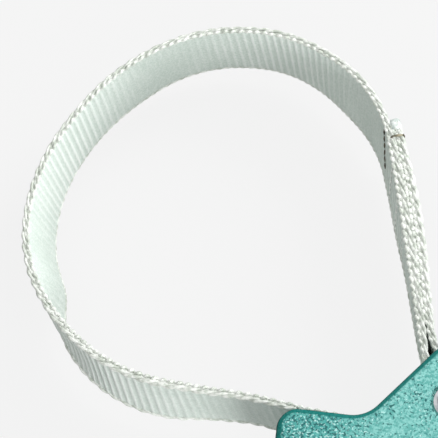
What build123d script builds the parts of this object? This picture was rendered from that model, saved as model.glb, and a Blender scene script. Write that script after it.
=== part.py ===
"""Strap wrench: a cast handle with a two-cheek head, and a woven strap that makes a loop round the work.

Frame: millimetres, +Z up, +X along the handle. The origin is the centre of the strap loop, on the plane that
the lower cheek rests on. The strap stands on edge between the cheeks. One end is folded round a sleeve on the
anchor pin and stitched back on itself. The other end runs over the toe, through the channel, and out as a tail.
"""
import os
from math import acos, cos, degrees, radians, sin

from build123d import *

os.makedirs("parts", exist_ok=True)

# ---- Driving dimensions ----
# Strap
strap_width = 30.0
strap_thickness = 3.0
ply_gap = 0.3  # between the two layers of the folded end
loop_radius = 81.4  # centre line of the strap
run_inset = 13.4  # how much nearer than loop_radius the folded run passes to the origin
shoulder_inset = 17.4  # how much smaller the shoulder's radius is than loop_radius
run_angle = 12.0  # outward normal of the folded run, from +X
feed_angle = 9.8  # fall of the free run, below +X
fold_past_shoulder = 10.0  # folded layer's length past the end of the straight run
eye_flare = 25.0  # angle between the folded layer and the run where it leaves the sleeve
eye_bend_radius = 30.0
eye_above_feed = 2.15  # clear space between the eye and the free run below it
loop_end_behind_pin = 27.0  # where the loop's free run is taken over by the tail, inside the channel
tail_straight = 78.0
tail_curve_radius = 260.0
tail_curve_angle = 18.0
tail_tip_straight = 20.0

# Anchor
pin_diameter = 9.0
pin_head_diameter = 15.0
pin_head_height = 2.2
pin_end_chamfer = 0.6
sleeve_wall = 1.5
running_clearance = 0.05  # radial
soft_clearance = 0.3
washer_diameter = 14.0
washer_thickness = 0.8
ring_width = 1.4
ring_thickness = 1.0
ring_groove_depth = 0.6
ring_opening = 4.0

# Casting
cheek_thickness = 5.5
side_clearance = 0.75  # strap edge to cheek
recess_depth = 2.5  # for the pin's head and for its ring
recess_clearance = 0.5
channel_clearance = 1.3  # over the strap, where it passes under the root of the handle
anchor_pocket_clearance = 2.35  # round the eye, where the channel opens out for it
head_slope_start = 12.0  # from the pin, where the cheeks begin to thin down to the handle
head_slope_end = 42.0
slope_round = 40.0
handle_length = 270.0  # pin axis to hang eye
handle_rise = 3.0  # handle axis above the pin axis, along +Y
handle_root_width = 28.0
handle_end_width = 23.0
handle_height = 26.0
web_thickness = 8.0
rim_width = 5.5
pocket_start = 44.0  # from the pin, the recess beside the web
pocket_end_gap = 24.0  # from the end of that recess to the hang eye
pocket_end_flat = 1.2  # straight left between the two rounds at the recess's narrow end
eye_boss_radius = 17.0
eye_hole_radius = 8.0
edge_round = 3.4

# Stitching and tail tip
stitch_count = 6
stitch_length = 3.6
thread_width = 0.9
thread_height = 0.5
stitch_below_shoulder = 2.0
reinforcing_rows = 3
reinforcing_pitch = 14.0
ferrule_length = 18.0
ferrule_wall = 0.45
ferrule_clearance = 0.05
rivet_radius = 2.0
rivet_spacing = 16.0

# ---- Heights ----
gap_height = strap_width + 2 * side_clearance
head_height = gap_height + 2 * cheek_thickness
mid_height = head_height / 2
strap_bottom = cheek_thickness + side_clearance
strap_top = strap_bottom + strap_width

# ---- Radii round the pin ----
pin_radius = pin_diameter / 2
sleeve_radius = pin_radius + running_clearance + sleeve_wall
eye_radius = sleeve_radius + soft_clearance + strap_thickness / 2
ply_pitch = strap_thickness + ply_gap
eye_outer_radius = eye_radius + strap_thickness / 2
anchor_pocket_radius = eye_outer_radius + anchor_pocket_clearance
pin_above_feed = eye_outer_radius + eye_above_feed + strap_thickness / 2  # to the free run's centre line

# ---- Directions and reference points ----
run_out = Vector(cos(radians(run_angle)), sin(radians(run_angle)))  # away from the work
run_along = Vector(-sin(radians(run_angle)), cos(radians(run_angle)))  # away from the pin
feed_along = Vector(cos(radians(feed_angle)), -sin(radians(feed_angle)))  # towards the tail
feed_up = Vector(sin(radians(feed_angle)), cos(radians(feed_angle)))  # towards the work

# The shoulder is an arc inside the loop's circle, and touches both that circle and the straight run.
shoulder_radius = loop_radius - shoulder_inset
shoulder_start = run_angle + degrees(acos((shoulder_inset - run_inset) / shoulder_inset))
shoulder_centre = Vector(shoulder_inset, 0).rotate(Axis.Z, shoulder_start)
run_top = shoulder_centre + run_out * shoulder_radius

# The pin lies where the run passes it by the eye's radius and the free run by pin_above_feed.
run_distance = loop_radius - run_inset + eye_radius
feed_distance = loop_radius - pin_above_feed
crossing = cos(radians(run_angle + feed_angle))
pin_x = (run_distance * cos(radians(feed_angle)) + feed_distance * sin(radians(run_angle))) / crossing
pin_y = -(feed_distance * cos(radians(run_angle)) + run_distance * sin(radians(feed_angle))) / crossing
pin_centre = Vector(pin_x, pin_y)

run_start = pin_centre - run_out * eye_radius
run_length = (run_top - run_start).length
feed_start = feed_up * -loop_radius


def feed_point(behind_pin, above):
    """A point given along the free run, from the pin, and above its centre line."""
    along = pin_centre.dot(feed_along) + behind_pin
    return feed_start + feed_along * along + feed_up * above


def from_pin(x, y):
    return pin_centre + Vector(x, y)


loop_end = feed_point(-loop_end_behind_pin, 0)

# ---- Handle casting: two cheeks, toe, shoe under the strap, I-section handle, hang eye ----
root_half = handle_root_width / 2
end_half = handle_end_width / 2
eye_centre = from_pin(handle_length, handle_rise)

# Corner points from the pin, each with the radius that rounds it.
outline = [
    (-65.6, -4.2, 8.0),  # top of the toe
    (-32.2, -7.2, 12.0),  # valley between toe and horn
    (-2.2, 27.6, 14.0),  # horn
    (22.9, handle_rise + root_half, 30.0),
    (handle_length, handle_rise + end_half, 0),
    (handle_length, handle_rise - end_half, 0),
    (28.0, handle_rise - root_half, 6.0),
    (17.5, -27.0, 5.0),  # lip under the mouth of the channel
    (-4.0, -33.5, 25.0),
    (-48.0, -31.0, 25.0),
    (-65.6, -24.0, 9.0),  # underside of the toe
]
reach = 2 * handle_length  # longer than anything that it cuts
along_y = 0.999  # an edge whose direction has this much Y in it runs across the handle


def runs_across_cheek(edge):
    """Whether an edge is one of the long lines across the cheeks where their slope begins or ends."""
    return edge.length > end_half and abs(edge.tangent_at(0.5).Y) > along_y


with BuildPart() as handle_casting:
    with BuildSketch() as silhouette:
        with BuildLine():
            Polyline([from_pin(x, y) for x, y, r in outline], close=True)
        make_face()
        for x, y, r in outline:
            if r:
                fillet(silhouette.vertices().sort_by_distance(from_pin(x, y))[0], r)
        with Locations(eye_centre):
            Circle(eye_boss_radius)
    extrude(amount=head_height)
    # Seen from the side, the head is full height and the handle is thinner.
    handle_low = mid_height - handle_height / 2
    handle_high = mid_height + handle_height / 2
    with BuildSketch(Plane.XZ) as side_view:
        with BuildLine():
            Polyline(
                (pin_x - reach, 0),
                (pin_x + head_slope_start, 0),
                (pin_x + head_slope_end, handle_low),
                (pin_x + reach, handle_low),
                (pin_x + reach, handle_high),
                (pin_x + head_slope_end, handle_high),
                (pin_x + head_slope_start, head_height),
                (pin_x - reach, head_height),
                close=True,
            )
        make_face()
        bends = side_view.vertices().filter_by(lambda v: abs(v.X - pin_x) < head_slope_end + 1)
        fillet(bends, slope_round)
    extrude(amount=reach, both=True, mode=Mode.INTERSECT)
    rims = handle_casting.edges().filter_by(Axis.Z, reverse=True)
    fillet(rims.filter_by(runs_across_cheek, reverse=True), edge_round)
    # Recesses that leave the web and its rims.
    for side, low in ((1, mid_height + web_thickness / 2), (-1, mid_height - web_thickness / 2)):
        with BuildSketch(Plane.XY.offset(low)) as recess:
            with BuildLine():
                Polyline(
                    from_pin(pocket_start, handle_rise + root_half - rim_width),
                    from_pin(handle_length - pocket_end_gap, handle_rise + end_half - rim_width),
                    from_pin(handle_length - pocket_end_gap, handle_rise - end_half + rim_width),
                    from_pin(pocket_start, handle_rise - root_half + rim_width),
                    close=True,
                )
            make_face()
            fillet(recess.vertices(), end_half - rim_width - pocket_end_flat / 2)
        extrude(amount=side * head_height, mode=Mode.SUBTRACT)
    # Space between the cheeks: over the shoe, round the anchor, and out through the channel.
    shoe_top = -strap_thickness / 2 - soft_clearance
    channel_top = strap_thickness / 2 + channel_clearance
    with BuildSketch(Plane.XY.offset(cheek_thickness)):
        with BuildLine():
            Polyline(
                feed_point(-reach, shoe_top),
                feed_point(reach, shoe_top),
                feed_point(reach, channel_top),
                feed_point(anchor_pocket_radius, channel_top),
                from_pin(anchor_pocket_radius, reach),
                from_pin(-reach, reach),
                close=True,
            )
        make_face()
    extrude(amount=gap_height, mode=Mode.SUBTRACT)
    # Anchor bores, each with a recess on the outer face.
    with Locations(pin_centre):
        Hole(pin_radius + running_clearance)
    for low in (0, head_height - recess_depth):
        with BuildSketch(Plane.XY.offset(low)):
            with Locations(pin_centre):
                Circle(pin_head_diameter / 2 + recess_clearance)
        extrude(amount=recess_depth, mode=Mode.SUBTRACT)
    with Locations(eye_centre):
        Hole(eye_hole_radius)
handle_casting.part.label = "handle_casting"
export_step(handle_casting.part, "parts/handle_casting.step")

# ---- Anchor pin, sleeve, washer and retaining ring ----
pin_low = recess_depth - pin_head_height
ring_low = head_height - recess_depth + washer_thickness + running_clearance
pin_high = head_height - soft_clearance

with BuildPart() as anchor_pin:
    with BuildSketch(Plane.XY.offset(pin_low)):
        with Locations(pin_centre):
            Circle(pin_head_diameter / 2)
    extrude(amount=pin_head_height)
    chamfer(anchor_pin.faces().sort_by(Axis.Z)[0].edges(), pin_end_chamfer)
    with BuildSketch(Plane.XY.offset(recess_depth)):
        with Locations(pin_centre):
            Circle(pin_radius)
    extrude(amount=pin_high - recess_depth)
    chamfer(anchor_pin.faces().sort_by(Axis.Z)[-1].edges(), pin_end_chamfer / 2)
    with BuildSketch(Plane.XY.offset(ring_low)):
        with Locations(pin_centre):
            Circle(pin_radius)
            Circle(pin_radius - ring_groove_depth, mode=Mode.SUBTRACT)
    extrude(amount=ring_thickness, mode=Mode.SUBTRACT)
anchor_pin.part.label = "anchor_pin"
export_step(anchor_pin.part, "parts/anchor_pin.step")

with BuildPart() as anchor_sleeve:
    with BuildSketch(Plane.XY.offset(cheek_thickness + soft_clearance)):
        with Locations(pin_centre):
            Circle(sleeve_radius)
            Circle(pin_radius + running_clearance, mode=Mode.SUBTRACT)
    extrude(amount=gap_height - 2 * soft_clearance)
anchor_sleeve.part.label = "anchor_sleeve"
export_step(anchor_sleeve.part, "parts/anchor_sleeve.step")

with BuildPart() as pin_washer:
    with BuildSketch(Plane.XY.offset(head_height - recess_depth)):
        with Locations(pin_centre):
            Circle(washer_diameter / 2)
            Circle(pin_radius + running_clearance, mode=Mode.SUBTRACT)
    extrude(amount=washer_thickness)
pin_washer.part.label = "pin_washer"
export_step(pin_washer.part, "parts/pin_washer.step")

ring_inner = pin_radius - ring_groove_depth + running_clearance
with BuildPart() as retaining_ring:
    with BuildSketch(Plane.XY.offset(ring_low + running_clearance)):
        with Locations(pin_centre):
            Circle(ring_inner + ring_width)
            Circle(ring_inner, mode=Mode.SUBTRACT)
        with Locations(from_pin(0, ring_inner + ring_width / 2)):
            Rectangle(ring_opening, 2 * ring_width, mode=Mode.SUBTRACT)
    extrude(amount=ring_thickness - 2 * running_clearance)
retaining_ring.part.label = "retaining_ring"
export_step(retaining_ring.part, "parts/retaining_ring.step")

# ---- Strap: eye round the sleeve, folded layer, loop, tail ----
flare = radians(eye_flare)
eye_leave = pin_centre + (run_out * cos(flare) + run_along * sin(flare)) * eye_radius
flare_along = run_along * cos(flare) - run_out * sin(flare)
sideways = eye_radius + eye_radius * cos(flare) - ply_pitch - eye_bend_radius * (1 - cos(flare))
eye_straight = sideways / sin(flare)

with BuildPart() as strap_eye:
    with BuildSketch(Plane.XY.offset(strap_bottom)):
        with BuildLine():
            CenterArc(pin_centre, eye_radius, run_angle + 180, 180 + eye_flare)
            flare_end = eye_leave + flare_along * eye_straight
            Line(eye_leave, flare_end)
            fold_arc = JernArc(flare_end, flare_along, eye_bend_radius, -eye_flare)
            fold_start = fold_arc @ 1
        trace(line_width=strap_thickness)
    extrude(amount=strap_width)
strap_eye.part.label = "strap_eye"
export_step(strap_eye.part, "parts/strap_eye.step")

fold_top = run_top + run_out * ply_pitch
fold_end_angle = degrees(fold_past_shoulder / (shoulder_radius + ply_pitch))
with BuildPart() as strap_fold:
    with BuildSketch(Plane.XY.offset(strap_bottom)):
        with BuildLine():
            Line(fold_start, fold_top)
            CenterArc(shoulder_centre, shoulder_radius + ply_pitch, run_angle, fold_end_angle)
        trace(line_width=strap_thickness)
    extrude(amount=strap_width)
strap_fold.part.label = "strap_fold"
export_step(strap_fold.part, "parts/strap_fold.step")

with BuildPart() as strap_loop:
    with BuildSketch(Plane.XY.offset(strap_bottom)):
        with BuildLine():
            Line(run_start, run_top)
            CenterArc(shoulder_centre, shoulder_radius, run_angle, shoulder_start - run_angle)
            CenterArc((0, 0), loop_radius, shoulder_start, 270 - feed_angle - shoulder_start)
            Line(feed_start, loop_end)
        trace(line_width=strap_thickness)
    extrude(amount=strap_width)
strap_loop.part.label = "strap_loop"
export_step(strap_loop.part, "parts/strap_loop.step")

# The tail's own tip, as a plane with X along the strap and Z across its thickness.
tail_bend_start = loop_end + feed_along * tail_straight
with BuildLine() as tail_line:
    Line(loop_end, tail_bend_start)
    tail_arc = JernArc(tail_bend_start, feed_along, tail_curve_radius, tail_curve_angle)
    tail_tip = Line(tail_arc @ 1, tail_arc @ 1 + (tail_arc % 1) * tail_tip_straight)
tip_along = tail_tip % 1
tip_face = Plane(origin=tail_tip @ 1 + Vector(0, 0, mid_height), x_dir=tip_along, z_dir=tip_along.rotate(Axis.Z, 90))
rivet_places = [(-ferrule_length / 2, rivet_spacing / 2), (-ferrule_length / 2, -rivet_spacing / 2)]

with BuildPart() as strap_tail:
    with BuildSketch(Plane.XY.offset(strap_bottom)):
        trace(tail_line.edges(), line_width=strap_thickness)
    extrude(amount=strap_width)
    with BuildSketch(tip_face):
        with Locations(*rivet_places):
            Circle(rivet_radius + ferrule_clearance)
    extrude(amount=strap_thickness, both=True, mode=Mode.SUBTRACT)
strap_tail.part.label = "strap_tail"
export_step(strap_tail.part, "parts/strap_tail.step")

# ---- Crimped tip of the tail, with its flush rivets ----
cavity_thickness = strap_thickness + 2 * ferrule_clearance
cavity_width = strap_width + 2 * ferrule_clearance
ferrule_thickness = cavity_thickness + 2 * ferrule_wall
with BuildPart() as tail_ferrule:
    with BuildSketch(tip_face.offset(-ferrule_thickness / 2)):
        with Locations((ferrule_wall + ferrule_clearance - ferrule_length / 2, 0)):
            RectangleRounded(ferrule_length, cavity_width + 2 * ferrule_wall, ferrule_wall)
    extrude(amount=ferrule_thickness)
    with BuildSketch(tip_face.offset(-cavity_thickness / 2)):
        with Locations((ferrule_clearance - ferrule_length / 2, 0)):
            Rectangle(ferrule_length, cavity_width)
    extrude(amount=cavity_thickness, mode=Mode.SUBTRACT)
    with BuildSketch(tip_face):
        with Locations(*rivet_places):
            Circle(rivet_radius + ferrule_clearance)
    extrude(amount=strap_thickness, both=True, mode=Mode.SUBTRACT)
tail_ferrule.part.label = "tail_ferrule"
export_step(tail_ferrule.part, "parts/tail_ferrule.step")

with BuildPart() as tail_rivets:
    with BuildSketch(tip_face.offset(-ferrule_thickness / 2)):
        with Locations(*rivet_places):
            Circle(rivet_radius)
    extrude(amount=ferrule_thickness)
tail_rivets.part.label = "tail_rivets"
export_step(tail_rivets.part, "parts/tail_rivets.step")

# ---- Stitching through both layers: X outward and Y along the run ----
inner_face = -strap_thickness / 2 - thread_height / 2
outer_face = ply_pitch + strap_thickness / 2 + thread_height / 2
stack_middle = ply_pitch / 2
stack_thickness = ply_pitch + strap_thickness
stitch_pitch = strap_width / stitch_count
stitch_heights = [strap_bottom + stitch_pitch * (i + 0.5) for i in range(stitch_count)]


def run_plane(below_shoulder):
    origin = run_top - run_along * below_shoulder
    return Plane(origin=(origin.X, origin.Y, 0), x_dir=run_out, z_dir=(0, 0, 1))


with BuildPart(run_plane(stitch_below_shoulder)) as fold_stitches:
    for height in stitch_heights:
        with Locations((inner_face, 0, height), (outer_face, 0, height)):
            Box(thread_height, thread_width, stitch_length)
    with Locations(
        (stack_middle, 0, strap_top + thread_height / 2),
        (stack_middle, 0, strap_bottom - thread_height / 2),
    ):
        Box(stack_thickness, thread_width, thread_height)
fold_stitches.part.label = "fold_stitches"
export_step(fold_stitches.part, "parts/fold_stitches.step")

with BuildPart(run_plane(stitch_below_shoulder)) as reinforcing_stitches:
    for row in range(1, reinforcing_rows + 1):
        for height in stitch_heights:
            along = -row * reinforcing_pitch
            with Locations((inner_face, along, height), (outer_face, along, height)):
                Box(thread_height, thread_width, stitch_length)
reinforcing_stitches.part.label = "reinforcing_stitches"
export_step(reinforcing_stitches.part, "parts/reinforcing_stitches.step")

print("pin at", pin_centre, "hang eye at", eye_centre, "loop end", loop_end)
print("run length", run_length, "shoulder start", shoulder_start, "doubled from", fold_start)
strap_length = sum(p.part.volume for p in (strap_eye, strap_fold, strap_loop, strap_tail))
print("strap length", strap_length / strap_width / strap_thickness)
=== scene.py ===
"""Strap wrench, dressed: woven strap with corded selvedges, hammertone casting, steel pin and tail tip.

Metres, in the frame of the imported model. The origin is the centre of the strap loop and Z is up.
"""
import math
import random

import bpy
from mathutils import Matrix, Vector, noise


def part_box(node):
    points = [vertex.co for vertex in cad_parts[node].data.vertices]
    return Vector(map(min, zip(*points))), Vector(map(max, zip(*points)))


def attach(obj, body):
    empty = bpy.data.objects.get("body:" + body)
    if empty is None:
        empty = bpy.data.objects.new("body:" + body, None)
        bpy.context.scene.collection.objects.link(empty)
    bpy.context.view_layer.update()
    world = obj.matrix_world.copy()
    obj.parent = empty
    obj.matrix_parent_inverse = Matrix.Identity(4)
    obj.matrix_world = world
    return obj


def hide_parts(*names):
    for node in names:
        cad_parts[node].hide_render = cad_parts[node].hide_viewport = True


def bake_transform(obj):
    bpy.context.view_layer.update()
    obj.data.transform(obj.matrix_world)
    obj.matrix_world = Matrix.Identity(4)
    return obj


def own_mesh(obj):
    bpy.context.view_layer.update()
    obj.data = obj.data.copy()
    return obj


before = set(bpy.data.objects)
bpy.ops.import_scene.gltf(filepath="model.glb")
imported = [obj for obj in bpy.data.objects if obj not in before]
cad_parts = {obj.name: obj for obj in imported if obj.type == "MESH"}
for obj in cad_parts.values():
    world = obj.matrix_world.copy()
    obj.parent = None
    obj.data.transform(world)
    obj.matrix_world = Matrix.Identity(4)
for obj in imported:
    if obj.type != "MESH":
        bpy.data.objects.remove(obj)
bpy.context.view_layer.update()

MM = 0.001

# ---- Strap sizes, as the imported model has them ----
WIDTH = 30.0 * MM
THICKNESS = 3.0 * MM
PLY_PITCH = 3.3 * MM  # from the loop's centre line to the folded layer's
LOOP_RADIUS = 81.4 * MM
SHOULDER_INSET = 17.4 * MM
RUN_INSET = 13.4 * MM
RUN_ANGLE = math.radians(12.0)
FEED_ANGLE = math.radians(9.8)
EYE_RADIUS = 7.85 * MM
EYE_FLARE = math.radians(25.0)
EYE_BEND_RADIUS = 30.0 * MM
EYE_LAP = 2.0 * MM  # how far the eye's webbing overlaps the loop's and the fold's
LOOP_START = 4.0 * MM  # the loop's webbing starts this far past the sleeve
FOLD_PAST_SHOULDER = 10.0 * MM
MELTED_BACK = 3.2 * MM  # how far short of the fold's end its cloth stops, where a melted bead takes over
TAIL_STRAIGHT = 78.0 * MM
TAIL_CURVE_RADIUS = 260.0 * MM
TAIL_CURVE_ANGLE = math.radians(18.0)
TAIL_TIP = 20.0 * MM
FERRULE_LENGTH = 18.0 * MM
LOOP_END_BEHIND_PIN = 27.0 * MM
TOE_BEHIND_PIN = 58.0 * MM  # just inside the toe, where the loop's webbing meets the tail's

STRAP_LOW, STRAP_HIGH = (corner.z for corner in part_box("strap_loop"))
STRAP_MIDDLE = (STRAP_LOW + STRAP_HIGH) / 2
PIN = sum(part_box("anchor_pin"), Vector()) / 2
PIN.z = 0

# ---- Weave ----
RIB = 3.4 * MM  # from one cross rib to the next
RIB_HEIGHT = 0.34 * MM
RIB_CREST = 56.0  # the rib at which the ribs stand out most
RIB_SWING = 0.19  # and how fast that comes and goes, in radians for each rib
RINGS_PER_RIB = 10
YARNS_ACROSS = 40.0
PICKS_PER_RIB = 5.0
BODY_EDGE = 1.1 * MM  # the selvedge stands this far beyond the ribbed body
CORD_LAY = 11.6 * MM  # one full turn of the two cords twisted along the outer side of each edge
CORD_STEP = 0.45 * MM
CORD_SIDES = 7
LOOSE_FROM = 340 * MM  # along the loop, the stretch whose edges have worked loose
LOOSE_TO = 500 * MM
LOOSE_EASE = 50 * MM
KNOT_LIFT = {1: 1.0, -1: 0.35}  # the knots stand out on the top edge and lie flatter on the bottom one
SELVEDGE_MIDDLE = 1.04  # below the strap's very edge, in millimetres
PINCHED = 0.8  # the yarns' share of their size where the tip pinches them
PACKED_FROM = 1.1  # how full an edge is before loose yarn packs its groove


def turned(angle, length=1.0):
    return Vector((math.cos(angle), math.sin(angle), 0)) * length


# ---- The strap's centre line: straight runs and arcs, each with its length ----
class Line:
    def __init__(self, start, end):
        self.start, self.end = start, end
        self.length = (end - start).length

    def at(self, s):
        along = (self.end - self.start) / self.length
        return self.start + along * s, along


class Arc:
    """An arc from angle first to angle last about centre; it may turn either way."""

    def __init__(self, centre, radius, first, last):
        self.centre, self.radius, self.first, self.last = centre, radius, first, last
        self.length = radius * abs(last - first)

    def at(self, s):
        way = 1 if self.last > self.first else -1
        angle = self.first + way * s / self.radius
        return self.centre + turned(angle, self.radius), turned(angle + way * math.pi / 2)


def along_path(path, s):
    for piece in path[:-1]:
        if s <= piece.length:
            return piece.at(s)
        s -= piece.length
    return path[-1].at(s)


def path_length(path):
    return sum(piece.length for piece in path)


run_out = turned(RUN_ANGLE)
feed_along = turned(-FEED_ANGLE)
feed_up = turned(math.pi / 2 - FEED_ANGLE)
shoulder_radius = LOOP_RADIUS - SHOULDER_INSET
shoulder_start = RUN_ANGLE + math.acos((SHOULDER_INSET - RUN_INSET) / SHOULDER_INSET)
shoulder_centre = turned(shoulder_start, SHOULDER_INSET)
run_top = shoulder_centre + run_out * shoulder_radius
run_along = turned(RUN_ANGLE + math.pi / 2)
run_start = PIN - run_out * EYE_RADIUS
feed_start = feed_up * -LOOP_RADIUS


def feed_point(behind_pin):
    """A point of the free run, this far short of the pin."""
    return feed_start + feed_along * (PIN.dot(feed_along) - behind_pin)


loop_end = feed_point(LOOP_END_BEHIND_PIN)
toe_point = feed_point(TOE_BEHIND_PIN)
loop_path = [
    Line(run_start + run_along * LOOP_START, run_top),
    Arc(shoulder_centre, shoulder_radius, RUN_ANGLE, shoulder_start),
    Arc(Vector(), LOOP_RADIUS, shoulder_start, 1.5 * math.pi - FEED_ANGLE),
    Line(feed_start, toe_point),
]

eye_leave = PIN + turned(RUN_ANGLE + EYE_FLARE, EYE_RADIUS)
flare_along = turned(RUN_ANGLE + math.pi / 2 + EYE_FLARE)
across_flare = EYE_RADIUS * (1 + math.cos(EYE_FLARE)) - PLY_PITCH
across_flare -= EYE_BEND_RADIUS * (1 - math.cos(EYE_FLARE))
flare_end = eye_leave + flare_along * (across_flare / math.sin(EYE_FLARE))
bend_centre = flare_end + turned(RUN_ANGLE + EYE_FLARE, EYE_BEND_RADIUS)
fold_start = bend_centre - run_out * EYE_BEND_RADIUS
fold_radius = shoulder_radius + PLY_PITCH
fold_last = RUN_ANGLE + (FOLD_PAST_SHOULDER - MELTED_BACK) / fold_radius
eye_path = [
    Line(run_start + run_along * (LOOP_START + EYE_LAP), run_start),
    Arc(PIN, EYE_RADIUS, RUN_ANGLE + math.pi, RUN_ANGLE + 2 * math.pi + EYE_FLARE),
    Line(eye_leave, eye_leave + flare_along * EYE_LAP),
]
fold_path = [
    Line(eye_leave, flare_end),
    Arc(bend_centre, EYE_BEND_RADIUS, RUN_ANGLE + EYE_FLARE + math.pi, RUN_ANGLE + math.pi),
    Line(fold_start, run_top + run_out * PLY_PITCH),
    Arc(shoulder_centre, fold_radius, RUN_ANGLE, fold_last),
]
fold_run_end = sum(piece.length for piece in fold_path[:3])
flared_length = sum(piece.length for piece in fold_path[:2])
doubled_length = path_length(fold_path) - flared_length
run_length = loop_path[0].length

tail_bend = loop_end + feed_along * TAIL_STRAIGHT
tail_curve = Arc(
    tail_bend + feed_up * TAIL_CURVE_RADIUS,
    TAIL_CURVE_RADIUS,
    -FEED_ANGLE - math.pi / 2,
    -FEED_ANGLE - math.pi / 2 + TAIL_CURVE_ANGLE,
)
tip_start, tip_along = tail_curve.at(tail_curve.length)
tail_path = [Line(toe_point, tail_bend), tail_curve, Line(tip_start, tip_start + tip_along * TAIL_TIP)]

# How the slack loop sags from its true line: polar angle in degrees, then how far the bottom edge
# and the top edge lie outwards, and how far the middle bulges outwards past them, in millimetres.
SLACK = [
    (-44, 0.0, 0.0, 0.0),
    (-32, -1.8, 0.3, 0.0),
    (-14, -2.6, 0.5, 0.0),
    (0, -3.9, 0.5, 0.0),
    (18, -4.9, 0.0, 0.0),
    (38, -7.0, -1.4, 0.0),
    (54, -8.0, -2.3, 0.0),
    (66, -6.3, -2.7, 0.0),
    (84, -2.4, -1.6, 0.0),
    (102, 0.3, -0.5, 0.0),
    (114, 0.5, -0.6, 0.0),
    (130, -1.2, -1.4, 0.0),
    (150, -2.2, -2.2, 0.0),
    (172, -2.6, -0.4, 0.0),
    (190, -3.7, 1.7, 0.0),
    (203, -4.9, 2.4, -1.5),
    (214, 0.2, 1.5, 0.6),
    (226, 2.8, 1.2, -1.2),
    (240, 3.3, 0.9, 0.0),
    (256, 2.0, 0.4, 0.0),
    (271, -1.5, -0.1, 0.0),
    (281, -2.7, -0.8, 0.0),
    (291, -0.9, -0.4, 0.0),
    (300, 0.0, 0.0, 0.0),
    (320, 0.0, 0.0, 0.0),
]


def slack(point, s):
    """How far the bottom edge, the top edge and the bulging middle lie outwards at a point of the loop."""
    angle = math.degrees(math.atan2(point.y, point.x))
    if angle < SLACK[0][0]:
        angle += 360
    k = 0
    while k < len(SLACK) - 2 and SLACK[k + 1][0] < angle:
        k += 1
    near = [SLACK[max(k - 1, 0)], SLACK[k], SLACK[k + 1], SLACK[min(k + 2, len(SLACK) - 1)]]
    span = near[2][0] - near[1][0]
    t = min(max((angle - near[1][0]) / span, 0), 1)
    eased = []
    for column in (1, 2, 3):
        p0, p1, p2, p3 = (row[column] for row in near)
        slope1 = (p2 - p0) / max(near[2][0] - near[0][0], 1) * span
        slope2 = (p3 - p1) / max(near[3][0] - near[1][0], 1) * span
        value = p1 * (2 * t**3 - 3 * t**2 + 1) + p2 * (3 * t**2 - 2 * t**3)
        eased.append(value + slope1 * (t**3 - 2 * t**2 + t) + slope2 * (t**3 - t**2))
    return [value * MM for value in eased]


LEAST_STAND_OFF = 0.2 * MM
MIDDLE_STAND_OFF = 1.2 * MM


def on_run(point, s):
    """The folded layer takes up the loop's lean on its way from the eye, and stands off at its middle."""
    share = min(s / flared_length, 1)
    doubled = max(s - flared_length, 0) / doubled_length
    stand_off = 0.0
    if doubled > 0:
        stand_off = LEAST_STAND_OFF + MIDDLE_STAND_OFF * math.sin(math.pi * min(doubled, 1)) ** 2
    bottom, top, middle = slack(point, s)
    return bottom * share + stand_off, top * share + stand_off, middle * share


def still(point, s):
    """Webbing that is held straight up, with no sag."""
    return 0.0, 0.0, 0.0


def even(s):
    return 1.0


def worn(s):
    """Ribs pressed flatter, where the eye bears on the sleeve."""
    return 0.6


def ribs_on_loop(s):
    """The ribs stand out in some stretches of the loop and lie flatter in others."""
    return 0.70 + 0.34 * math.cos((s / RIB - RIB_CREST) * RIB_SWING)


def full_where_doubled(share):
    """How full an edge is at a share of the doubled part, from 0 where the layers meet to 1 at its end."""
    return 1 + 0.34 * math.sin(math.pi * min(max(share, 0), 1)) ** 0.4


def full_on_run(s):
    """The loop's edge is fuller where the folded layer lies against it, and again towards the toe."""
    coming = (s - LOOSE_FROM) / LOOSE_EASE
    going = (LOOSE_TO - s) / LOOSE_EASE
    loose = min(max(coming, 0), max(going, 0), 1)
    return full_where_doubled((s - run_length + doubled_length) / doubled_length) + 0.2 * loose


def full_on_fold(s):
    return full_where_doubled((s - flared_length) / doubled_length)


def strap_point(path, s, across, out, give):
    """Place on the strap: s along it, across from its middle to the top edge, out from its centre line.
    give is slack, on_run or still, and says how the strap leans and bulges there."""
    centre, along = along_path(path, s)
    bottom, top, middle = give(centre, s)
    side = Vector((along.y, -along.x, 0))
    cup = middle * (1 - (2 * across / WIDTH) ** 2)
    shift = out + bottom + (top - bottom) * (across / WIDTH + 0.5) + cup
    return centre + side * shift + Vector((0, 0, STRAP_MIDDLE + across))


def mesh_piece(name, verts, faces, uvs):
    mesh = bpy.data.meshes.new(name)
    mesh.from_pydata([tuple(v) for v in verts], [], faces)
    layer = mesh.uv_layers.new(name="weave")
    for corner in mesh.loops:
        layer.data[corner.index].uv = uvs[corner.vertex_index]
    mesh.shade_smooth()
    piece = bpy.data.objects.new(name, mesh)
    bpy.context.scene.collection.objects.link(piece)
    return piece


# Half of the body's outline, as height and fullness, from the bottom edge up; the other half mirrors it.
SECTION = [(-1.0, 0.55), (-0.985, 0.82), (-0.94, 0.96), (-0.86, 1.0), (-0.6, 1.0), (-0.2, 1.0)]
SECTION += [(-height, crown) for height, crown in reversed(SECTION)]


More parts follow.
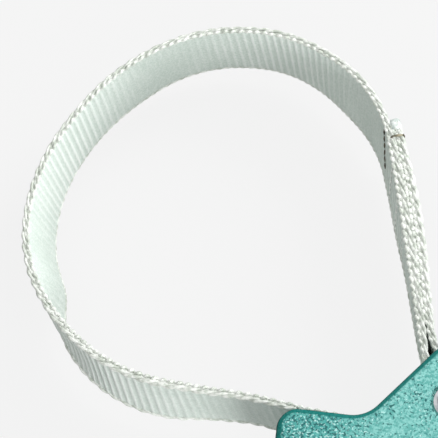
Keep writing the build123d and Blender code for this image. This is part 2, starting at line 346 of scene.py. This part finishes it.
def woven_body(name, path, give, ribs):
    """The ribbed middle of a length of webbing, with its ends closed."""
    length = path_length(path)
    rings = round(length / RIB * RINGS_PER_RIB)
    top = WIDTH / 2 - BODY_EDGE
    core = THICKNESS / 2 - RIB_HEIGHT
    verts, uvs = [], []
    for i in range(rings + 1):
        s = length * i / rings
        rib = (0.5 + 0.5 * math.cos(2 * math.pi * s / RIB)) ** 1.4 * ribs(s)
        for side in (1, -1):
            for height, crown in SECTION[::side]:
                waver = noise.noise(Vector((s / RIB * 1.7, height * 3, side * 5))) * 0.10 * MM
                out = side * (core * crown + (RIB_HEIGHT * rib + waver) * crown**2)
                verts.append(strap_point(path, s, height * top, out, give))
                uvs.append((s / RIB, height * 0.5 + 0.5))
    ring = 2 * len(SECTION)
    faces = []
    for i in range(rings):
        for k in range(ring):
            near, far = i * ring + k, i * ring + (k + 1) % ring
            faces.append((near, near + ring, far + ring, far))
    faces.append(tuple(range(ring)))
    faces.append(tuple(reversed(range(rings * ring, rings * ring + ring))))
    return mesh_piece(name, verts, faces, uvs)


def tube(points, radii, verts, faces, uvs):
    """Adds a closed round tube along points to a mesh in the making."""
    base = len(verts)
    count = len(points)
    for i, point in enumerate(points):
        ahead = points[min(i + 1, count - 1)] - points[max(i - 1, 0)]
        side = ahead.cross(Vector((0, 0, 1))).normalized()
        rise = side.cross(ahead).normalized()
        size = radii[i] * (0.5 if i in (0, count - 1) else 1.0)
        for k in range(CORD_SIDES):
            turn = 2 * math.pi * k / CORD_SIDES
            verts.append(point + side * math.cos(turn) * size + rise * math.sin(turn) * size)
            uvs.append((i * CORD_STEP / MM, k / CORD_SIDES))
    for i in range(count - 1):
        for k in range(CORD_SIDES):
            near = base + i * CORD_SIDES + k
            far = base + i * CORD_SIDES + (k + 1) % CORD_SIDES
            faces.append((near, near + CORD_SIDES, far + CORD_SIDES, far))
    last = base + (count - 1) * CORD_SIDES
    faces.append(tuple(base + k for k in range(CORD_SIDES)))
    faces.append(tuple(last + k for k in reversed(range(CORD_SIDES))))


def yarn_places(knot, twist, lift):
    """Where each yarn of a selvedge lies, and its radius, in millimetres: outwards from the strap's centre
    line and up from the selvedge's middle. knot and twist are the turns of the knots and of the cords."""
    swell = 0.86 + 0.26 * lift * math.sin(knot)
    return {
        "knots": (-0.82 + 0.26 * lift * math.cos(knot), 0.30 * lift * math.sin(knot) + 0.1, 0.62 * swell),
        "cord a": (0.68 + 0.44 * math.cos(twist), 0.46 * math.sin(twist), 0.58),
        "cord b": (0.68 - 0.44 * math.cos(twist), -0.46 * math.sin(twist), 0.58),
        "core": (0.0, -0.45, 0.75),
        "packing": (-1.75, 0.30 * math.sin(knot + twist) - 0.1, 0.80),
    }


def selvedge(name, path, give, edge, fullness=even, packed=False, pinched_end=0.0):
    """One edge of the strap: knots of weft on the inner side, one to a rib, two twisted cords on the outer
    side and a core that fills the middle. edge is 1 for the top edge, -1 for the bottom one. A packed edge
    has a further row of loose yarn that fills the groove between two layers of strap. The last stretch,
    pinched_end long, is pressed tight."""
    length = path_length(path)
    steps = round(length / CORD_STEP)
    rows = {"knots": ([], []), "cord a": ([], []), "cord b": ([], []), "core": ([], [])}
    if packed:
        rows["packing"] = ([], [])
    for i in range(steps + 1):
        s = length * i / steps
        knot = 2 * math.pi * s / RIB
        twist = 2 * math.pi * s / CORD_LAY
        places = yarn_places(knot, twist, KNOT_LIFT[edge])
        stray = [noise.noise(Vector((s / CORD_LAY * 3, edge * 4, k))) for k in range(len(places))]
        tight = PINCHED if s > length - pinched_end else fullness(s)
        for (row, (out, rise, radius)), drift in zip(places.items(), stray):
            if row not in rows or (row == "packing" and fullness(s) <= PACKED_FROM):
                continue
            across = edge * (WIDTH / 2 + (rise - SELVEDGE_MIDDLE + 0.16 * drift) * MM)
            points, radii = rows[row]
            points.append(strap_point(path, s, across, (out + 0.12 * drift) * tight * MM, give))
            radii.append(radius * (1 + 0.14 * drift) * tight * MM)
    verts, faces, uvs = [], [], []
    for points, radii in rows.values():
        tube(points, radii, verts, faces, uvs)
    return mesh_piece(name, verts, faces, uvs)


# ---- Sewing thread ----
STITCH_COUNT = 6
STITCH_HALF = 0.36  # half a stitch, as a share of the step from one stitch to the next
THREAD = 0.38 * MM
STAPLE_THREAD = 0.52 * MM
FOLD_ROW = (3.9 * MM, 14.2 * MM), (-3.4 * MM, -5.2 * MM)  # its ends: past the shoulder, above the middle
ROW_PITCH = 14.0 * MM
REINFORCING_ROWS = 3
ROW_HEIGHT = 13.0 * MM  # how far the reinforcing rows reach above and below the strap's middle


def select_none():
    bpy.ops.object.select_all(action="DESELECT")


def settle(piece):
    """Put a piece's place, turn and scale into its mesh."""
    select_none()
    piece.select_set(True)
    bpy.context.view_layer.objects.active = piece
    bpy.ops.object.transform_apply(location=True, rotation=True, scale=True)
    return piece


def thread_bar(length, radius):
    """One sewn stitch: a short length of thread with rounded ends, standing on Z."""
    select_none()
    bpy.ops.mesh.primitive_cylinder_add(vertices=12, radius=radius, depth=length)
    bar = bpy.context.active_object
    bpy.ops.object.mode_set(mode="EDIT")
    bpy.ops.mesh.select_all(action="SELECT")
    bpy.ops.mesh.subdivide(number_cuts=1)
    bpy.ops.object.mode_set(mode="OBJECT")
    half = length / 2
    for vert in bar.data.vertices:
        near_end = max(abs(vert.co.z) / half - 0.4, 0) / 0.6
        narrow = math.sqrt(max(1 - near_end**2 * 0.8, 0.1))
        vert.co.x *= narrow
        vert.co.y *= narrow
    return bar


def joined(name, pieces):
    select_none()
    for piece in pieces:
        piece.select_set(True)
    bpy.context.view_layer.objects.active = pieces[0]
    bpy.ops.object.join()
    whole = bpy.context.active_object
    whole.name = name
    whole.data.name = name
    bpy.ops.object.shade_smooth()
    return whole


# ---- Shader nodes, and the two effects that materials share ----
class Shade:
    """Short calls for building one node tree."""

    def __init__(self, tree):
        self.tree = tree

    def node(self, kind, **settings):
        made = self.tree.nodes.new(kind)
        for name, value in settings.items():
            setattr(made, name, value)
        return made

    def put(self, value, socket):
        """Join value to a socket, or set it there when it is a plain number or colour."""
        if isinstance(value, bpy.types.NodeSocket):
            self.tree.links.new(value, socket)
        elif isinstance(value, tuple):
            socket.default_value = (*value, 1.0) if socket.type == "RGBA" else value
        else:
            socket.default_value = value

    def maths(self, operation, first, second=0.0):
        made = self.node("ShaderNodeMath", operation=operation)
        self.put(first, made.inputs[0])
        self.put(second, made.inputs[1])
        return made.outputs[0]

    def times(self, first, second):
        return self.maths("MULTIPLY", first, second)

    def plus(self, first, second):
        return self.maths("ADD", first, second)

    def split(self, vector):
        """The X, Y and Z of a vector."""
        made = self.node("ShaderNodeSeparateXYZ")
        self.put(vector, made.inputs[0])
        return made.outputs

    def mix(self, share, first, second):
        made = self.node("ShaderNodeMix", data_type="RGBA")
        self.put(share, made.inputs[0])
        self.put(first, made.inputs[6])
        self.put(second, made.inputs[7])
        return made.outputs[2]

    def between(self, value, low, high, to_low=0.0, to_high=1.0):
        """value taken from the range low to high into another, smoothly and without going past it."""
        made = self.node("ShaderNodeMapRange", interpolation_type="SMOOTHSTEP")
        for socket, number in zip(made.inputs, (value, low, high, to_low, to_high)):
            self.put(number, socket)
        return made.outputs["Result"]

    def cloud(self, place, size, detail=3.0, roughness=0.55):
        made = self.node("ShaderNodeTexNoise")
        self.put(place, made.inputs["Vector"])
        made.inputs["Scale"].default_value = 1 / size
        made.inputs["Detail"].default_value = detail
        made.inputs["Roughness"].default_value = roughness
        return made.outputs["Fac"]

    def group(self, tree, **inputs):
        made = self.node("ShaderNodeGroup", node_tree=tree)
        for name, value in inputs.items():
            self.put(value, made.inputs[name])
        return made.outputs

    def object_place(self):
        return self.node("ShaderNodeTexCoord").outputs["Object"]


def new_group(name, inputs, outputs):
    """A node group with named sockets; returns its tree, its Shade and its input and output nodes."""
    tree = bpy.data.node_groups.new(name, "ShaderNodeTree")
    for socket, kind in inputs.items():
        tree.interface.new_socket(socket, in_out="INPUT", socket_type=kind)
    for socket, kind in outputs.items():
        tree.interface.new_socket(socket, in_out="OUTPUT", socket_type=kind)
    shade = Shade(tree)
    return tree, shade, shade.node("NodeGroupInput").outputs, shade.node("NodeGroupOutput").inputs


FLOAT, VECTOR = "NodeSocketFloat", "NodeSocketVector"


def specks_group():
    """Small ragged spots where a fine cloud pattern rises past a level, which Amount lowers from 0 to 1."""
    tree, shade, given, result = new_group(
        "specks", {"Place": VECTOR, "Size": FLOAT, "Shift": FLOAT, "Amount": FLOAT}, {"Mask": FLOAT}
    )
    moved = shade.node("ShaderNodeVectorMath", operation="ADD")
    shade.put(given["Place"], moved.inputs[0])
    shade.put(given["Shift"], moved.inputs[1])
    cloud = shade.node("ShaderNodeTexNoise")
    shade.put(moved.outputs[0], cloud.inputs["Vector"])
    shade.put(shade.maths("DIVIDE", 1.0, given["Size"]), cloud.inputs["Scale"])
    cloud.inputs["Detail"].default_value = 1.5
    level = shade.maths("SUBTRACT", 0.70, shade.times(given["Amount"], 0.20))
    spot = shade.maths("SUBTRACT", cloud.outputs["Fac"], level)
    shade.put(shade.between(spot, 0.0, 0.05), result["Mask"])
    return tree


def weave_group():
    """Ribs and yarns of the webbing, from a UV map that counts ribs along U and the width along V."""
    tree, shade, given, result = new_group(
        "weave",
        {"Cloth": VECTOR, "Yarns": FLOAT, "Picks": FLOAT},
        {"Crest": FLOAT, "Yarn": FLOAT, "Height": FLOAT},
    )
    u, v, _ = shade.split(given["Cloth"])
    circle = 2 * math.pi
    crest = shade.between(shade.maths("COSINE", shade.times(u, circle)), -0.1, 0.95)
    yarn_turn = shade.times(shade.times(v, given["Yarns"]), circle)
    pick_turn = shade.times(shade.times(u, given["Picks"]), circle)
    crossing = shade.times(shade.maths("SINE", yarn_turn), shade.maths("SINE", pick_turn))
    yarn = shade.plus(shade.times(crossing, 0.5), 0.5)
    shade.put(crest, result["Crest"])
    shade.put(yarn, result["Yarn"])
    shade.put(shade.plus(shade.times(crest, 0.35), yarn), result["Height"])
    return tree


def new_material(name, roughness, **constants):
    """A material, its Shade and its surface inputs, with the values that are the same all over set."""
    material = bpy.data.materials.new(name)
    material.use_nodes = True
    shade = Shade(material.node_tree)
    inputs = material.node_tree.nodes["Principled BSDF"].inputs
    shade.put(roughness, inputs["Roughness"])
    for words, value in constants.items():
        shade.put(value, inputs[words.replace("_", " ")])
    return material, shade, inputs


def relief(shade, height, depth, strength=1.0):
    bump = shade.node("ShaderNodeBump")
    bump.inputs["Strength"].default_value = strength
    bump.inputs["Distance"].default_value = depth
    shade.put(height, bump.inputs["Height"])
    return bump.outputs["Normal"]


SPECKS = specks_group()
WEAVE = weave_group()

# ---- Materials ----
# The webbing's lit pale colour, and the greenish shade painted between its ribs.
RIB_LIT_PALE = (0.86, 0.91, 0.87)
GROUND_SHADE_GREEN = (0.55, 0.645, 0.58)
RIB_HIGHLIGHT_STRENGTH = 0.30  # how far a rib's crest is lighter than the ground: painted highlight on the crests
RIB_HIGHLIGHT_SWING = 0.26  # and how much of that painted highlight comes and goes along the strap, with how the light falls


def webbing_material():
    """Heavy ribbed cloth: pale ribs with painted highlight on their crests, painted greenish shade in the
    ground between them, and a fine grain of crossing yarns with painted shade in its pits.
    """
    material, shade, inputs = new_material("webbing", 0.82, Sheen_Weight=0.15, Sheen_Roughness=0.5)
    cloth = shade.node("ShaderNodeUVMap", uv_map="weave").outputs[0]
    woven = shade.group(WEAVE, Cloth=cloth, Yarns=YARNS_ACROSS, Picks=PICKS_PER_RIB)
    place = shade.object_place()
    soft = shade.between(shade.cloud(place, 16 * MM), 0.3, 0.7, -0.08, 0.10)
    fine = shade.between(shade.cloud(place, 0.8 * MM, 2.0), 0.34, 0.66, -0.20, 0.20)
    rib_count = shade.split(cloth)[0]
    swing = shade.times(shade.maths("SUBTRACT", rib_count, RIB_CREST), RIB_SWING)
    strength = shade.plus(shade.times(shade.maths("COSINE", swing), RIB_HIGHLIGHT_SWING), RIB_HIGHLIGHT_STRENGTH)
    # Painted light over a patchy tone: rib crests lit, the ground and the pits between crossing yarns
    # shaded.
    light = shade.plus(shade.times(woven["Crest"], strength), shade.times(woven["Yarn"], 0.5))
    light = shade.plus(light, shade.plus(soft, fine))
    shade.put(shade.mix(light, GROUND_SHADE_GREEN, RIB_LIT_PALE), inputs["Base Color"])
    shade.put(relief(shade, woven["Height"], 0.22 * MM, 0.9), inputs["Normal"])
    return material


def sealed_material():
    """Webbing melted smooth at its cut end, a little bluer and glossier than the cloth."""
    material, shade, inputs = new_material("sealed webbing", 0.42, Coat_Weight=0.2)
    place = shade.object_place()
    streaks = shade.between(shade.cloud(place, 1.6 * MM, 3.0), 0.35, 0.65)
    shade.put(shade.mix(streaks, (0.44, 0.51, 0.48), (0.78, 0.83, 0.80)), inputs["Base Color"])
    shade.put(relief(shade, shade.cloud(place, 0.9 * MM, 3.0), 0.3 * MM, 0.8), inputs["Normal"])
    return material


FIBRE_BUNDLES = 3  # round each yarn
CORD_GROOVE_SHADE_AND_TONE = (0.44, 0.49, 0.42)
CORD_PALE = (0.88, 0.90, 0.86)


def cord_material():
    """The selvedge's yarns: bundles of fibres with a slow twist, with painted shade in the grooves where
    they dive, over a patchy tone.
    """
    material, shade, inputs = new_material("selvedge cord", 0.7, Sheen_Weight=0.2)
    cloth = shade.node("ShaderNodeUVMap", uv_map="weave").outputs[0]
    along, around, _ = shade.split(cloth)
    lay = shade.plus(shade.times(along, 0.9), around)
    fibres = shade.between(shade.maths("SINE", shade.times(lay, FIBRE_BUNDLES * 2 * math.pi)), -1.0, 1.0)
    patchy = shade.between(shade.cloud(shade.object_place(), 2.6 * MM, 4.0), 0.36, 0.62)
    # Painted shade in the grooves between fibre bundles, mixed with a patchy tone.
    light = shade.plus(shade.times(fibres, 0.3), shade.times(patchy, 0.7))
    shade.put(shade.mix(light, CORD_GROOVE_SHADE_AND_TONE, CORD_PALE), inputs["Base Color"])
    shade.put(relief(shade, fibres, 0.12 * MM, 0.7), inputs["Normal"])
    return material


def thread_material(name, dark, light):
    material, shade, inputs = new_material(name, 0.6)
    place = shade.object_place()
    ply = shade.node("ShaderNodeTexWave", wave_type="BANDS", bands_direction="DIAGONAL")
    shade.put(place, ply.inputs["Vector"])
    ply.inputs["Scale"].default_value = 0.12 / MM
    ply.inputs["Distortion"].default_value = 1.5
    shade.put(shade.mix(ply.outputs["Fac"], dark, light), inputs["Base Color"])
    shade.put(relief(shade, ply.outputs["Fac"], 0.1 * MM), inputs["Normal"])
    return material


ENAMEL_DEEP = (0.085, 0.34, 0.31)
ENAMEL_LIGHT = (0.24, 0.56, 0.52)
ENAMEL_CLOUD = (0.16, 0.46, 0.42)
TOE_TINT = (0.04, 0.32, 0.29)
FINE_FLECK = (0.03, 0.20, 0.20)
DARK_FLECK = (0.008, 0.10, 0.10)
BRIGHT_FLECK = (0.55, 0.88, 0.84)
# Painted shade: dark teal on the casting's rounded rims, near black on the brink where they turn down into
# the walls.
RIM_SHADE_TEAL = (0.002, 0.165, 0.145)
BRINK_SHADE_DARK = (0.001, 0.03, 0.03)
TOE_FROM, TOE_TO = 72 * MM, 48 * MM  # along X, where the toe's coarser fleck sets in and where it is full
SLOPE_START = 10 * MM, 15 * MM  # past the pin, the stretch in which the slope to the handle begins
SLOPE_END = 41 * MM, 46 * MM  # and the stretch in which it ends
SLOPE_SHARE = 0.15  # how much of the rim's painted shade is left on that slope


def rim_shade_masks(shade, along_x):
    """Masks for painted shade: on the rounded rims, and darkest on the brink between rim and wall."""
    normal = shade.node("ShaderNodeNewGeometry").outputs["Normal"]
    upright = shade.maths("ABSOLUTE", shade.split(normal)[2])
    past_pin = shade.maths("SUBTRACT", along_x, PIN.x)
    before = shade.between(past_pin, *SLOPE_START, 1.0, SLOPE_SHARE)
    after = shade.between(past_pin, *SLOPE_END, SLOPE_SHARE, 1.0)
    not_wall = shade.times(shade.between(upright, 0.05, 0.25), shade.maths("MAXIMUM", before, after))
    rim = shade.times(shade.between(upright, 0.998, 0.95), not_wall)
    brink = shade.times(shade.between(upright, 0.66, 0.54), shade.between(upright, 0.20, 0.36))
    return rim, brink


def hammertone_material():
    """Teal hammertone enamel on a sand casting: ragged dark and bright flecks, with painted shade on the
    rounded rims.
    """
    material, shade, inputs = new_material("hammertone enamel", 0.4, Specular_IOR_Level=0.3)
    place = shade.object_place()
    along_x = shade.split(place)[0]
    toe = shade.between(along_x, TOE_TO, TOE_FROM, 1.0, 0.0)
    cloudy = shade.between(shade.cloud(place, 8 * MM), 0.42, 0.62)
    heavy = shade.maths("MAXIMUM", toe, shade.times(cloudy, 0.55))
    dark_amount = shade.between(heavy, 0.0, 1.0, 0.36, 0.92)
    bright_amount = shade.between(heavy, 0.0, 1.0, 0.15, 0.62)
    dark = shade.group(SPECKS, Place=place, Size=1.25 * MM, Shift=0.0, Amount=dark_amount)["Mask"]
    fine = shade.group(SPECKS, Place=place, Size=0.85 * MM, Shift=0.4, Amount=dark_amount)["Mask"]
    bright = shade.group(SPECKS, Place=place, Size=0.9 * MM, Shift=0.9, Amount=bright_amount)["Mask"]
    grain = shade.cloud(place, 1.1 * MM, 3.0, 0.6)
    wide = shade.cloud(place, 22 * MM, 2.0)
    rim, brink = rim_shade_masks(shade, along_x)
    base = shade.mix(shade.between(grain, 0.40, 0.60), ENAMEL_DEEP, ENAMEL_LIGHT)
    base = shade.mix(shade.between(wide, 0.3, 0.7, 0.0, 0.35), base, ENAMEL_CLOUD)
    # The last two marks are painted shade: dark teal on the rounded rims, near black on their brink.
    for mask, share, colour in (
        (toe, 0.6, TOE_TINT),
        (fine, 0.6, FINE_FLECK),
        (dark, 0.85, DARK_FLECK),
        (bright, 0.6, BRIGHT_FLECK),
        (rim, 0.94, RIM_SHADE_TEAL),
        (brink, 0.8, BRINK_SHADE_DARK),
    ):
        base = shade.mix(shade.times(mask, share), base, colour)
    shade.put(base, inputs["Base Color"])
    pits = shade.plus(dark, shade.times(fine, 0.5))
    surface = shade.maths("SUBTRACT", shade.plus(grain, shade.times(bright, 0.5)), pits)
    shade.put(relief(shade, surface, 0.2 * MM, 0.6), inputs["Normal"])
    gloss = shade.between(grain, 0.3, 0.7, 0.32, 0.48)
    shade.put(shade.maths("MAXIMUM", gloss, rim), inputs["Roughness"])
    return material


def steel_material(name, dark, light, roughness, turned_lines):
    """Machined or plated steel, a little stained; turned_lines stretches its fine lines along each axis."""
    material, shade, inputs = new_material(name, roughness, Metallic=1.0)
    place = shade.object_place()
    stain = shade.between(shade.cloud(place, 3 * MM, 4.0), 0.35, 0.7)
    shade.put(shade.mix(stain, light, dark), inputs["Base Color"])
    shade.put(shade.between(stain, 0.0, 1.0, roughness, roughness + 0.18), inputs["Roughness"])
    stretched = shade.node("ShaderNodeMapping")
    shade.put(place, stretched.inputs["Vector"])
    stretched.inputs["Scale"].default_value = turned_lines
    lines = shade.cloud(stretched.outputs[0], 0.25 * MM, 2.0)
    shade.put(relief(shade, lines, 0.02 * MM, 0.6), inputs["Normal"])
    return material


webbing = webbing_material()
sealed = sealed_material()
cord = cord_material()
tan_thread = thread_material("waxed thread", (0.15, 0.135, 0.085), (0.30, 0.27, 0.185))
dark_thread = thread_material("dark waxed thread", (0.035, 0.032, 0.022), (0.12, 0.105, 0.075))
white_thread = thread_material("white thread", (0.62, 0.65, 0.61), (0.90, 0.91, 0.88))
hammertone = hammertone_material()
ROUND_PIN = (0.08, 0.08, 1.0)
ALONG_TIP = (0.15, 1.0, 1.0)
ROUND_RING = (1.0, 1.0, 0.1)
pin_steel = steel_material("turned steel", (0.36, 0.36, 0.35), (0.62, 0.62, 0.61), 0.25, ROUND_PIN)
zinc = steel_material("zinc plate", (0.46, 0.48, 0.50), (0.72, 0.73, 0.74), 0.3, ALONG_TIP)
spring = steel_material("black spring steel", (0.03, 0.03, 0.035), (0.10, 0.10, 0.11), 0.4, ROUND_RING)


def dress(piece, body, material):
    """Give a piece its material and its body, or no body if it bends between two."""
    piece.data.materials.clear()
    piece.data.materials.append(material)
    if body:
        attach(piece, body)
    return piece


# ---- Strap ----
def length_of_strap(name, path, give, ribs=even, fullness=even, packed=False, pinched_end=0.0):
    """A ribbed body and its two selvedges along one path."""
    body = woven_body(f"{name}_webbing", path, give, ribs)
    edges = []
    for edge, word in ((1, "top"), (-1, "bottom")):
        label = f"{name}_{word}_selvedge"
        edges.append(selvedge(label, path, give, edge, fullness, packed, pinched_end))
    return body, edges


loop_body, loop_edges = length_of_strap("loop", loop_path, slack, ribs_on_loop, full_on_run)
eye_body, eye_edges = length_of_strap("eye", eye_path, still, worn)
fold_body, fold_edges = length_of_strap("folded", fold_path, on_run, fullness=full_on_fold, packed=True)
tail_body, tail_edges = length_of_strap("tail", tail_path, still, pinched_end=FERRULE_LENGTH)
for piece in (loop_body, eye_body, fold_body):
    dress(piece, "handle", webbing)
for piece in loop_edges + eye_edges + fold_edges:
    dress(piece, "handle", cord)
dress(tail_body, None, webbing)
for piece in tail_edges:
    dress(piece, None, cord)


def thread_between(start, end, radius):
    bar = thread_bar((end - start).length + radius, radius)
    bar.rotation_mode = "QUATERNION"
    bar.rotation_quaternion = (end - start).to_track_quat("Z", "Y")
    bar.location = (start + end) / 2
    return settle(bar)


def seam(first, last):
    """A row of stitches through both layers, seen on the loop's inner face and the fold's outer face.
    first and last are the row's ends: how far past the shoulder, and how high above the strap's middle."""
    jitter = random.Random(5)
    inner_face = (loop_path, slack, run_length, -1)
    outer_face = (fold_path, on_run, fold_run_end, 1)
    bars = []
    for path, give, shoulder, side in (inner_face, outer_face):
        face = side * (THICKNESS / 2 + 0.05 * MM)
        for i in range(STITCH_COUNT):
            ends = []
            for way in (-STITCH_HALF, STITCH_HALF):
                share = (i + 0.5 + way) / STITCH_COUNT
                past, high = (start + (end - start) * share for start, end in zip(first, last))
                past += jitter.uniform(-0.12, 0.12) * MM
                ends.append(strap_point(path, shoulder + past, high, face, give))
            bars.append(thread_between(*ends, THREAD))
    return bars


def edge_staple(edge):
    """The thick thread that binds both layers over one edge, and its two ends drawn down into the cloth."""
    high = edge * (WIDTH / 2 + 0.2 * MM)
    low = edge * (WIDTH / 2 - 1.5 * MM)
    inner = strap_point(loop_path, run_length - 0.8 * MM, high, 0.8 * MM, slack)
    outer = strap_point(fold_path, fold_run_end - 1.0 * MM, high, 1.6 * MM, on_run)
    inner_low = strap_point(loop_path, run_length - 1.2 * MM, low, 0.2 * MM, slack)
    outer_low = strap_point(fold_path, fold_run_end - 1.6 * MM, low, 1.9 * MM, on_run)
    return [thread_between(inner, outer, STAPLE_THREAD)], [
        thread_between(inner, inner_low, STAPLE_THREAD),
        thread_between(outer, outer_low, STAPLE_THREAD),
    ]


BEAD_THICKNESS = 5.2 * MM
BEAD_LENGTH = 6.2 * MM
BEAD_PAST_SHOULDER = 5.0 * MM
BEAD_SET_BACK = 0.3 * MM


def sealed_end():
    """The melted end of the folded layer: a plump, slightly glazed bead across the strap's width."""
    select_none()
    bpy.ops.mesh.primitive_cube_add(size=1.0)
    bead = bpy.context.active_object
    bead.name = "sealed_end"
    bead.scale = (BEAD_THICKNESS, BEAD_LENGTH, WIDTH + 0.4 * MM)
    bpy.ops.object.transform_apply(scale=True)
    bpy.ops.object.mode_set(mode="EDIT")
    bpy.ops.mesh.select_all(action="SELECT")
    bpy.ops.mesh.bevel(offset=BEAD_THICKNESS * 0.36, segments=4, affect="EDGES")
    bpy.ops.mesh.select_all(action="SELECT")
    bpy.ops.mesh.subdivide(number_cuts=3)
    bpy.ops.object.mode_set(mode="OBJECT")
    middle, along = along_path(fold_path, fold_run_end + BEAD_PAST_SHOULDER)
    bottom, top, _ = on_run(middle, fold_run_end + BEAD_PAST_SHOULDER)
    side = Vector((along.y, -along.x, 0))
    for vert in bead.data.vertices:
        lumps = noise.noise(vert.co * 0.45 / MM) * 0.35 * MM
        lean = bottom + (top - bottom) * (vert.co.z / WIDTH + 0.5)
        taper = 1 - 0.3 * max(vert.co.y, 0) / BEAD_LENGTH
        out = vert.co.x * taper + lean - BEAD_SET_BACK + lumps
        place = middle + along * vert.co.y + side * out
        vert.co = (place.x, place.y, STRAP_MIDDLE + vert.co.z + lumps * 0.5)
    bpy.ops.object.shade_smooth()
    return bead


bars = seam(*FOLD_ROW)
staple_tops, staple_ends = [], []
for edge in (1, -1):
    tops, ends = edge_staple(edge)
    staple_tops += tops
    staple_ends += ends
fold_thread = dress(joined("fold_thread", bars + staple_ends), "handle", dark_thread)
staple = dress(joined("binding_thread", staple_tops), "handle", tan_thread)
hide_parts("fold_stitches")
bars = []
for row in range(1, REINFORCING_ROWS + 1):
    bars += seam((-row * ROW_PITCH, ROW_HEIGHT), (-row * ROW_PITCH, -ROW_HEIGHT))
seam_thread = dress(joined("reinforcing_thread", bars), "handle", white_thread)
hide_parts("reinforcing_stitches")
fold_cap = dress(sealed_end(), "handle", sealed)

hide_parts("strap_loop")
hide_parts("strap_eye")
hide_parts("strap_fold")
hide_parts("strap_tail")

# As the strap is pulled through, the loop draws in towards the eye, and the stretch of webbing between
# the toe and the channel goes over from the handle to the tail. Here those pieces only get meshes of their
# own, and the tail's pieces their places baked into their meshes.
flexing = [loop_body, fold_body, fold_thread, staple, seam_thread, fold_cap] + loop_edges + fold_edges
for piece in flexing:
    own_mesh(piece)
for piece in [tail_body] + tail_edges:
    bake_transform(piece)

for node, material in (
    ("handle_casting", hammertone),
    ("anchor_pin", pin_steel),
    ("anchor_sleeve", pin_steel),
    ("pin_washer", zinc),
    ("retaining_ring", spring),
    ("tail_ferrule", zinc),
    ("tail_rivets", zinc),
):
    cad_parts[node].data.materials.clear()
    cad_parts[node].data.materials.append(material)

# ---- Camera, at the angle that shows the loop and the head ----
VIEW_AZIMUTH = math.radians(24.0)
VIEW_ELEVATION = math.radians(60.0)
VIEW_ROLL = math.radians(-20.0)
VIEW_DISTANCE = 1.027
VIEW_LENS = 205.5  # millimetres, on a 36 mm wide film
VIEW_AIM = Vector((-9.75 * MM, 7.11 * MM, STRAP_LOW))


def place_camera():
    forward = turned(VIEW_AZIMUTH + math.pi / 2, math.cos(VIEW_ELEVATION))
    forward.z = -math.sin(VIEW_ELEVATION)
    level = turned(VIEW_AZIMUTH)
    upright = level.cross(forward)
    right = level * math.cos(VIEW_ROLL) + upright * math.sin(VIEW_ROLL)
    up = upright * math.cos(VIEW_ROLL) - level * math.sin(VIEW_ROLL)
    data = bpy.data.cameras.new("camera")
    data.lens = VIEW_LENS
    data.sensor_width = 36.0
    data.clip_start = 0.01
    data.clip_end = 20.0
    camera = bpy.data.objects.new("camera", data)
    bpy.context.scene.collection.objects.link(camera)
    turn = Matrix((right, up, -forward)).transposed().to_4x4()
    camera.matrix_world = Matrix.Translation(VIEW_AIM - forward * VIEW_DISTANCE) @ turn
    bpy.context.scene.camera = camera


place_camera()

# ---- Floor and light ----
FLOOR_GLOW = 0.39
FLOOR_GLOW_SEEN = 0.45  # more, where the camera sees the floor itself
FLOOR_DROP = 0.2 * MM


def studio_floor():
    """A pale floor that glows evenly, so that it stays light under the strap."""
    select_none()
    bpy.ops.mesh.primitive_plane_add(size=6.0, location=(0, 0, -FLOOR_DROP))
    floor = bpy.context.active_object
    floor.name = "floor"
    pale, shade, inputs = new_material("pale floor", 0.95, Specular_IOR_Level=0.0)
    shade.put((0.06, 0.06, 0.06), inputs["Base Color"])
    shade.put((1.0, 1.0, 1.0), inputs["Emission Color"])
    seen = shade.node("ShaderNodeLightPath").outputs["Is Camera Ray"]
    shade.put(shade.plus(shade.times(seen, FLOOR_GLOW_SEEN), FLOOR_GLOW), inputs["Emission Strength"])
    floor.data.materials.append(pale)


def studio_world():
    """Soft light from overhead and the near side, falling off to the far side."""
    world = bpy.data.worlds.new("studio")
    world.use_nodes = True
    bpy.context.scene.world = world
    shade = Shade(world.node_tree)
    direction = shade.node("ShaderNodeTexCoord").outputs["Generated"]
    lean = shade.node("ShaderNodeVectorMath", operation="DOT_PRODUCT")
    shade.put(direction, lean.inputs[0])
    lean.inputs[1].default_value = (0.30, -0.30, 0.90)
    glow = shade.between(lean.outputs["Value"], -0.5, 0.9, 0.10, 0.98)
    background = world.node_tree.nodes["Background"]
    shade.put((1.0, 1.0, 1.0), background.inputs["Color"])
    shade.put(glow, background.inputs["Strength"])


def area_light(name, place, size, watts):
    data = bpy.data.lights.new(name, "AREA")
    data.energy = watts
    data.size = size
    light = bpy.data.objects.new(name, data)
    bpy.context.scene.collection.objects.link(light)
    light.location = place
    light.rotation_euler = (-Vector(place)).to_track_quat("-Z", "Y").to_euler()


studio_floor()
studio_world()
area_light("key", place=(1.25, 1.05, 0.9), size=0.8, watts=30)
area_light("fill", place=(1.1, -1.2, 0.24), size=0.5, watts=18)
bpy.context.scene.view_settings.view_transform = "Standard"
